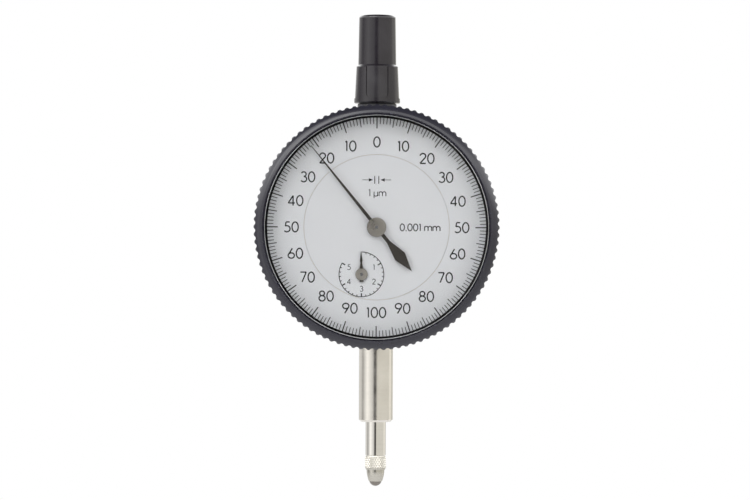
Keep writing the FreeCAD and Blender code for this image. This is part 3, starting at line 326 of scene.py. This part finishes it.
FINISHES = {
    "cast_body": grained("cast_body", (0.46, 0.47, 0.49), 0.65, 0.42, 4200.0, 0.000012, tint=0.07),
    "plated_brass": turned_metal("plated_brass", (0.74, 0.71, 0.66), "spindle", 0.2, 0.0000012),
    "spindle_steel": turned_metal(
        "spindle_steel", (0.78, 0.76, 0.72), "spindle", 0.1, 0.0000006, spread=0.03,
    ),
    "point_steel": turned_metal("point_steel", (0.52, 0.5, 0.45), "spindle", 0.16, 0.000001, spread=0.03),
    "carbide": turned_metal("carbide", (0.24, 0.22, 0.2), "spindle", 0.12, 0.0000004, spread=0.03),
    "bronze": turned_metal("bronze", (0.62, 0.42, 0.22), "spindle", 0.35, 0.000003),
    "black_neck": grained("black_neck", (0.022, 0.021, 0.026), 0.0, 0.35, 3000.0, 0.000004),
    "black_bezel": grained("black_bezel", (0.013, 0.0125, 0.022), 0.0, 0.24, 2600.0, 0.000004, 0.55, 0.1),
    "black_cap": grained("black_cap", (0.011, 0.0085, 0.013), 0.0, 0.16, 2600.0, 0.000003, 0.65),
    "rubber": grained("rubber", (0.03, 0.03, 0.03), 0.0, 0.75, 2500.0, 0.00001, 0.3),
    "acetal": grained("acetal", (0.8, 0.8, 0.75), 0.0, 0.45, 2200.0, 0.000003, tint=0.04),
    "dial_face": dial_finish(),
    "crystal": crystal_finish(),
    "hand_paint": grained("hand_paint", (0.042, 0.034, 0.028), 0.0, 0.38, 5000.0, 0.000003, 0.5),
    "hub_nickel": turned_metal("hub_nickel", (0.47, 0.44, 0.4), "dial", 0.3, 0.000003, scale=12000.0),
    "brass": brushed_metal("brass", (0.74, 0.55, 0.26), 0.28),
    "pinion_steel": brushed_metal("pinion_steel", (0.5, 0.5, 0.52), 0.22),
    "screw_steel": brushed_metal("screw_steel", (0.6, 0.6, 0.62), 0.24, (9000.0, 900.0, 9000.0)),
    "spring_steel": brushed_metal("spring_steel", (0.42, 0.43, 0.46), 0.25, (9000.0, 9000.0, 1200.0)),
    "ruby": ruby_finish(),
}
INK = ink_finish()


def finish_nodes():
    """Give every CAD node the finish of its material slot."""
    for row in frame["record"]["subparts"]:
        node = frame["nodes"][row["node"]]
        node.data.materials.clear()
        node.data.materials.append(FINISHES[row["material_slot"]])


# ---- mesh pieces ----------------------------------------------------------------------------------


def new_piece(name, built, material, body):
    """A finished bmesh as a piece that rides on a body."""
    bmesh.ops.recalc_face_normals(built, faces=built.faces)
    mesh = bpy.data.meshes.new(name)
    built.to_mesh(mesh)
    built.free()
    mesh.materials.append(material)
    piece = bpy.data.objects.new(name, mesh)
    bpy.context.scene.collection.objects.link(piece)
    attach(piece, body)
    return piece


def dial_point(across, up, front):
    """A point given in millimetres from the dial's centre, and in metres towards the front."""
    return Vector((across * MM, -front, DIAL_HEIGHT + up * MM))


def add_stroke(built, points, width):
    """A flat ribbon of ink along points in the dial's plane, closed where its ends meet."""
    closed = math.dist(points[0], points[-1]) < 1e-6
    if closed:
        points = points[:-1]
    count = len(points)
    rings = []
    for index, (across, up) in enumerate(points):
        before = points[index - 1] if closed or index > 0 else points[index]
        after = points[(index + 1) % count] if closed or index < count - 1 else points[index]
        first, second = unit(before, (across, up)), unit((across, up), after)
        first, second = first or second, second or first
        side = (-(first[1] + second[1]) / 2, (first[0] + second[0]) / 2)
        reach = width / 2 / max(SHARPEST_MITRE, side[0] ** 2 + side[1] ** 2)
        corners = []
        for front in (DIAL_FACE - INK_THICKNESS * MM / 2, DIAL_FACE + INK_THICKNESS * MM / 2):
            for way in (-1, 1):
                place = dial_point(across + way * side[0] * reach, up + way * side[1] * reach, front)
                corners.append(built.verts.new(place))
        rings.append([corners[0], corners[1], corners[3], corners[2]])
    for first, second in zip(rings, rings[1:] + (rings[:1] if closed else [])):
        for corner in range(4):
            following = (corner + 1) % 4
            built.faces.new((first[corner], first[following], second[following], second[corner]))
    if not closed:
        built.faces.new(rings[0])
        built.faces.new(rings[-1])


def unit(start, end):
    """The direction from one point to another, or None where they are the same."""
    length = math.dist(start, end)
    return ((end[0] - start[0]) / length, (end[1] - start[1]) / length) if length > 1e-9 else None


def arc(centre_x, centre_y, radius_x, radius_y, start, end, steps=20):
    """Points round part of an oval, with angles in degrees that turn anticlockwise from the right."""
    points = []
    for step in range(steps + 1):
        angle = math.radians(start + (end - start) * step / steps)
        points.append((centre_x + radius_x * math.cos(angle), centre_y + radius_y * math.sin(angle)))
    return points


def oval(centre_x, centre_y, radius_x, radius_y):
    return arc(centre_x, centre_y, radius_x, radius_y, 0, 360, 32)


# Each glyph has its width and its strokes, for a height of 1.
GLYPHS = {
    "0": (0.54, [oval(0.27, 0.5, 0.27, 0.5)]),
    "1": (0.22, [[(0.01, 0.9), (0.14, 1.0)], [(0.14, 1.0), (0.14, 0.0)]]),
    "2": (0.5, [arc(0.25, 0.74, 0.24, 0.26, 175, -38) + [(0.0, 0.0)], [(0.0, 0.0), (0.5, 0.0)]]),
    "3": (0.5, [arc(0.25, 0.77, 0.21, 0.23, 155, -90), arc(0.25, 0.27, 0.26, 0.27, 90, -150)]),
    "4": (0.56, [[(0.42, 0.0), (0.42, 1.0)], [(0.42, 1.0), (0.0, 0.26)], [(0.0, 0.26), (0.56, 0.26)]]),
    "5": (0.5, [
        [(0.46, 1.0), (0.15, 1.0)], [(0.15, 1.0), (0.09, 0.58)], arc(0.22, 0.31, 0.28, 0.31, 118, -140),
    ]),
    "6": (0.54, [[(0.36, 1.0), (0.04, 0.4)], oval(0.27, 0.27, 0.27, 0.27)]),
    "7": (0.5, [[(0.0, 1.0), (0.5, 1.0)], [(0.5, 1.0), (0.15, 0.0)]]),
    "8": (0.52, [oval(0.26, 0.77, 0.21, 0.23), oval(0.26, 0.27, 0.26, 0.27)]),
    "9": (0.54, [oval(0.27, 0.73, 0.27, 0.27), [(0.5, 0.6), (0.18, 0.0)]]),
    ".": (0.08, [[(0.04, -0.04), (0.04, 0.08)]]),
    " ": (0.12, []),
    "m": (0.88, [
        [(0.0, 0.0), (0.0, 0.66)],
        arc(0.22, 0.42, 0.22, 0.24, 180, 0, 10) + [(0.44, 0.0)],
        arc(0.66, 0.42, 0.22, 0.24, 180, 0, 10) + [(0.88, 0.0)],
    ]),
    "u": (0.48, [
        [(0.0, -0.28), (0.0, 0.66)],
        arc(0.23, 0.22, 0.23, 0.22, 180, 360, 10) + [(0.46, 0.66)],
        [(0.46, 0.22), (0.48, 0.0)],
    ]),
}


def write_text(built, text, height, stroke, middle, up):
    """Strokes of a short text, centred on a point given in millimetres from the dial's centre."""
    spread = height * GLYPH_SPREAD
    width = sum(GLYPHS[mark][0] for mark in text) + GLYPH_GAP * (len(text) - 1)
    start = middle - width * spread / 2
    for mark in text:
        glyph_width, strokes = GLYPHS[mark]
        for points in strokes:
            placed = [(start + x * spread, up + (y - 0.5) * height) for x, y in points]
            add_stroke(built, placed, stroke)
        start += (glyph_width + GLYPH_GAP) * spread


def clockwise(angle, radius, across=0.0, up=0.0):
    """The point at a clock angle in degrees and a radius, from a centre."""
    turn = math.radians(angle)
    return across + radius * math.sin(turn), up + radius * math.cos(turn)


def make_outer_scale():
    """Two hundred divisions, and numerals that count both ways from the top."""
    marks = bmesh.new()
    for index in range(DIVISIONS):
        kind = "ten" if index % 10 == 0 else "five" if index % 5 == 0 else "one"
        inner, width = TICKS[kind]
        angle = index * 360 / DIVISIONS
        add_stroke(marks, [clockwise(angle, inner), clockwise(angle, TICK_OUTER)], width)
    new_piece("outer_scale_marks", marks, INK, "bezel")
    numerals = bmesh.new()
    for index in range(0, DIVISIONS, 10):
        value = min(index, DIVISIONS - index)
        across, up = clockwise(index * 360 / DIVISIONS, NUMERAL_RADIUS)
        write_text(numerals, str(value), NUMERAL_HEIGHT, NUMERAL_STROKE, across, up)
    new_piece("outer_scale_numerals", numerals, INK, "bezel")


def make_counter_scale():
    """The travel counter's open ring, five millimetres round, each in five parts."""
    marks = bmesh.new()
    ring_steps = 100
    ring = []
    for step in range(ring_steps + 1):
        angle = COUNTER_SPAN * step / ring_steps
        ring.append(clockwise(angle, COUNTER_RADIUS, COUNTER_ACROSS, COUNTER_UP))
    add_stroke(marks, ring, COUNTER_LINE)
    tick_steps = COUNTER_MARKS * COUNTER_PARTS
    for step in range(1, tick_steps + 1):
        length, width = COUNTER_TICKS["part" if step % COUNTER_PARTS else "whole"]
        angle = COUNTER_SPAN * step / tick_steps
        inner = clockwise(angle, COUNTER_RADIUS - length, COUNTER_ACROSS, COUNTER_UP)
        outer = clockwise(angle, COUNTER_RADIUS, COUNTER_ACROSS, COUNTER_UP)
        add_stroke(marks, [inner, outer], width)
    new_piece("counter_scale_marks", marks, INK, "case")
    numerals = bmesh.new()
    for value in range(1, COUNTER_MARKS + 1):
        angle = COUNTER_SPAN * value / COUNTER_MARKS
        across, up = clockwise(angle, COUNTER_NUMERAL_RADIUS, COUNTER_ACROSS, COUNTER_UP)
        write_text(numerals, str(value), COUNTER_NUMERAL_HEIGHT, COUNTER_STROKE, across, up)
    new_piece("counter_scale_numerals", numerals, INK, "case")


def make_dial_legend():
    """The size of one division: two bars between arrows, its value below, and the same in millimetres."""
    legend = bmesh.new()
    up = 11.0
    bar_across = 0.475
    bar_half = 0.9
    bar_width = 0.2
    tip, tail, tail_half = 0.85, 1.85, 0.4
    line_start, line_end, line_width = 1.65, 3.35, 0.13
    for way in (-1, 1):
        bar = way * bar_across
        add_stroke(legend, [(bar, up - bar_half), (bar, up + bar_half)], bar_width)
        add_stroke(legend, [(way * line_start, up), (way * line_end, up)], line_width)
        head = [(tip, 0.0), (tail, tail_half), (tail, -tail_half)]
        add_plate(legend, [(way * x, up + y) for x, y in head])
    write_text(legend, "1 um", 1.55, 0.2, 0.15, 8.0)
    write_text(legend, "0.001 mm", 1.6, 0.24, 10.1, 0.0)
    new_piece("dial_legend", legend, INK, "case")


def add_plate(built, points):
    """A filled patch of ink."""
    back, front = (
        [built.verts.new(dial_point(x, y, DIAL_FACE + way * INK_THICKNESS * MM / 2)) for x, y in points]
        for way in (-1, 1)
    )
    built.faces.new(back)
    built.faces.new(front)
    for index in range(len(points)):
        following = (index + 1) % len(points)
        built.faces.new((back[index], back[following], front[following], front[index]))


def triangle_wave(value):
    return 1 - abs(2 * (value % 1.0) - 1)


def make_contact_point():
    """The contact point, with a diamond knurl cut into its grip."""
    low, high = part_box("contact_point")
    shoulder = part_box("spindle")[0].z
    ball_low, ball_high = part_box("contact_ball")
    ball_radius = (ball_high.z - ball_low.z) / 2
    ball_middle = (ball_high.z + ball_low.z) / 2
    grip, thread, nose_top, nose_end = high.x, 1.2 * MM, 2.1 * MM, 1.6 * MM
    knurl_low = shoulder - 3.3 * MM
    around, knurl_count, knurl_pitch, knurl_depth = 240, 24, 0.95 * MM, 0.2 * MM
    ball_steps, nose_steps, knurl_rows = 6, 14, 56
    nose_edge, thread_edge = 0.06 * MM, 0.3 * MM
    # The knurl starts at this share of its depth and grows by the slope, and its ends are let in by the fall.
    knurl_start, knurl_slope, knurl_fall = 0.1, 6, 1.4 * knurl_depth
    # Each row has its radius, its height and how much of the knurl is cut there.
    rows = []
    seat_edge = math.sqrt(ball_radius**2 - (ball_middle - low.z) ** 2)
    seat_turn = math.asin((ball_middle - low.z) / ball_radius)
    for step in range(ball_steps + 1):
        turn = math.pi / 2 + (-seat_turn - math.pi / 2) * step / ball_steps
        rows.append((ball_radius * math.cos(turn), ball_middle + ball_radius * math.sin(turn), 0))
    rows[-1] = (seat_edge, low.z, 0)
    rows.append((nose_end - nose_edge, low.z, 0))
    rows.append((nose_end, low.z + nose_edge, 0))
    for step in range(1, nose_steps + 1):
        share = step / nose_steps
        swell = math.sin(share * math.pi / 2)
        rows.append((nose_end + (nose_top - nose_end) * swell, low.z + (knurl_low - low.z) * share, 0))
    for step in range(knurl_rows + 1):
        share = step / knurl_rows
        edge = min(1.0, knurl_slope * share + knurl_start, knurl_slope * (1 - share) + knurl_start)
        rows.append((grip - (1 - edge) * knurl_fall, knurl_low + (shoulder - knurl_low) * share, edge))
    rows.append((thread, shoulder, 0))
    rows.append((thread, high.z - thread_edge, 0))
    rows.append((thread - thread_edge, high.z, 0))
    built = bmesh.new()
    rings = []
    for radius, height, knurled in rows:
        if radius < 1e-7:
            rings.append([built.verts.new((0, 0, height))])
            continue
        ring = []
        for index in range(around):
            share = index / around
            first = triangle_wave(share * knurl_count + height / knurl_pitch)
            second = triangle_wave(share * knurl_count - height / knurl_pitch)
            reach = radius - knurled * knurl_depth * (1 - min(first, second))
            turn = 2 * math.pi * share
            ring.append(built.verts.new((reach * math.cos(turn), reach * math.sin(turn), height)))
        rings.append(ring)
    for lower, upper in zip(rings, rings[1:]):
        for index in range(around):
            following = (index + 1) % around
            if len(lower) == 1:
                built.faces.new((lower[0], upper[following], upper[index]))
            else:
                built.faces.new((lower[index], lower[following], upper[following], upper[index]))
    built.faces.new(rings[-1])
    piece = new_piece("knurled_contact_point", built, FINISHES["point_steel"], "spindle")
    smooth_by_angle(piece, SHARP_EDGE_DEGREES)
    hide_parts("contact_point")


def smooth_by_angle(piece, degrees):
    """Shade a piece smooth, with sharp edges where it turns by more than the angle."""
    piece.data.shade_smooth()
    built = bmesh.new()
    built.from_mesh(piece.data)
    for edge in built.edges:
        edge.smooth = edge.calc_face_angle(0.0) < math.radians(degrees)
    built.to_mesh(piece.data)
    built.free()


# ---- light, floor and camera ----------------------------------------------------------------------

# Brightness of the studio round the object, by degrees from the front, with the right side positive: a pale
# room, with a bright screen at the left and shade behind it, a dark gap in front, and a bright strip at the
# right.
SURROUND = [
    (-180, 0.8), (-120, 0.8), (-100, 0.4), (-60, 1.3), (-20, 0.7), (-10, 0.05),
    (0, 0.05), (10, 0.8), (100, 0.8), (115, 1.2), (130, 0.7), (180, 0.8),
]
WARM_SIDE = (1.0, 0.975, 0.9)
COOL_SIDE = (1.0, 0.99, 0.97)

# Brightness away from the horizon, by the height of the direction: -1 is straight down and 1 straight up.
LEVELS = [
    (-1.0, 0.5), (-0.8, 0.6), (-0.5, 1.3), (0.0, 1.3), (0.14, 2.5), (0.5, 2.5),
    (0.68, 0.6), (0.85, 0.3), (1.0, 0.2),
]
# How far the levels take over from the horizon's ring, by the same height.
LEVELS_SHARE = [(-1.0, 1.0), (-0.98, 1.0), (-0.93, 0.0), (0.14, 0.0), (0.26, 1.0), (1.0, 1.0)]

LAMP_PLACE = (-0.3, -0.5, 0.45)
LAMP_TARGET = (0, 0, 0.03)
LAMP_SIZE = (0.6, 0.4)
LAMP_POWER = 1.5

# The floor lies this far below the contact point, and fades between the two radii.
FLOOR_DROP = 0.1
FLOOR_RADIUS = 0.55
FLOOR_FADE = (0.2, 0.54)

CAMERA_LENS = 142.5
CAMERA_SENSOR = 36
CAMERA_PLACE = (-0.00034, -0.7, DIAL_HEIGHT - 0.00528)
CAMERA_ROLL = math.radians(0.25)


class Studio(NodeTree):
    """The world, which gives each direction its brightness."""

    def __init__(self):
        self.world = bpy.data.worlds.new("studio")
        super().__init__(self.world)
        self.tree.nodes.clear()

    def ramp(self, value, rows):
        """A colour ramp over (place, colour) rows, the first at 0 and the last at 1."""
        made = self.node("ShaderNodeValToRGB")
        self.link(value, made.inputs[0])
        stops = made.color_ramp.elements
        for place, color in rows:
            stop = stops[0] if place <= 0 else stops[-1] if place >= 1 else stops.new(place)
            stop.color = (*color, 1)
        return made.outputs["Color"]

    def mix(self, factor, first, second):
        """The first colour where the factor is 0, and the second where it is 1."""
        made = self.node("ShaderNodeMix", data_type="RGBA")
        self.link(factor, made.inputs["Factor"])
        self.feed(made.inputs["A"], first)
        self.feed(made.inputs["B"], second)
        return made.outputs["Result"]


def grey(brightness):
    return (brightness,) * 3


def make_studio():
    """A pale room, seen as white: the ring of light at the horizon, and the levels above and below it."""
    studio = Studio()
    split = studio.node("ShaderNodeSeparateXYZ")
    studio.link(studio.node("ShaderNodeTexCoord").outputs["Generated"], split.inputs[0])
    towards_front = studio.math("MULTIPLY", split.outputs["Y"], -1.0)
    azimuth = studio.range(studio.math("ARCTAN2", split.outputs["X"], towards_front), -math.pi, math.pi)
    ring_rows = []
    for angle, brightness in SURROUND:
        tint = WARM_SIDE if angle > 0 else COOL_SIDE
        ring_rows.append(((angle + 180) / 360, [brightness * part for part in tint]))
    height = studio.range(split.outputs["Z"], -1.0, 1.0)
    level_rows = [((place + 1) / 2, grey(brightness)) for place, brightness in LEVELS]
    share_rows = [((place + 1) / 2, grey(share)) for place, share in LEVELS_SHARE]
    light = studio.mix(
        studio.ramp(height, share_rows), studio.ramp(azimuth, ring_rows), studio.ramp(height, level_rows)
    )
    seen = studio.node("ShaderNodeLightPath").outputs["Is Camera Ray"]
    background = studio.node("ShaderNodeBackground")
    studio.link(studio.mix(seen, light, (1, 1, 1, 1)), background.inputs["Color"])
    output = studio.node("ShaderNodeOutputWorld")
    studio.link(background.outputs[0], output.inputs["Surface"])
    bpy.context.scene.world = studio.world


def make_lamp():
    """A large soft lamp above, in front and to the left, turned to the dial."""
    lamp = bpy.data.lights.new("top_lamp", "AREA")
    lamp.shape = "RECTANGLE"
    lamp.size, lamp.size_y = LAMP_SIZE
    lamp.energy = LAMP_POWER
    holder = bpy.data.objects.new("top_lamp", lamp)
    holder.location = LAMP_PLACE
    holder.rotation_euler = (Vector(LAMP_TARGET) - Vector(LAMP_PLACE)).to_track_quat("-Z", "Y").to_euler()
    bpy.context.scene.collection.objects.link(holder)


def make_floor():
    """A round pale floor well below the point, which fades into the pale room at its rim."""
    built = bmesh.new()
    bmesh.ops.create_circle(built, cap_ends=True, segments=96, radius=FLOOR_RADIUS)
    mesh = bpy.data.meshes.new("floor")
    built.to_mesh(mesh)
    built.free()
    floor = bpy.data.objects.new("floor", mesh)
    floor.location = (0, 0, cad_box[0].z - FLOOR_DROP)
    bpy.context.scene.collection.objects.link(floor)
    paint = Paint("floor", (0.86, 0.86, 0.86), 0.0, 0.7)
    grain = paint.noise(paint.place(), scale=40.0, detail=3.0)
    paint.tone(grain, 0.99, 1.01)
    away = paint.node("ShaderNodeVectorMath", operation="LENGTH")
    paint.link(paint.place(), away.inputs[0])
    fade = paint.range(away.outputs["Value"], *FLOOR_FADE)
    clear = paint.node("ShaderNodeBsdfTransparent")
    mix = paint.node("ShaderNodeMixShader")
    paint.link(fade, mix.inputs[0])
    paint.link(paint.shader.outputs[0], mix.inputs[1])
    paint.link(clear.outputs[0], mix.inputs[2])
    paint.link(mix.outputs[0], paint.tree.nodes["Material Output"].inputs["Surface"])
    mesh.materials.append(paint.material)


def make_camera():
    """A long lens straight in front, level with the dial's lower half."""
    camera = bpy.data.cameras.new("camera")
    camera.lens = CAMERA_LENS
    camera.sensor_width = CAMERA_SENSOR
    camera.clip_start = 0.01
    holder = bpy.data.objects.new("camera", camera)
    holder.location = CAMERA_PLACE
    level = Matrix.Rotation(math.radians(90), 3, "X")
    roll = Matrix.Rotation(CAMERA_ROLL, 3, "Z")
    holder.rotation_euler = (level @ roll).to_euler()
    bpy.context.scene.collection.objects.link(holder)
    bpy.context.scene.camera = holder


finish_nodes()
make_outer_scale()
make_counter_scale()
make_dial_legend()
make_contact_point()
make_studio()
make_lamp()
make_floor()
make_camera()
bpy.context.scene.view_settings.view_transform = "Standard"
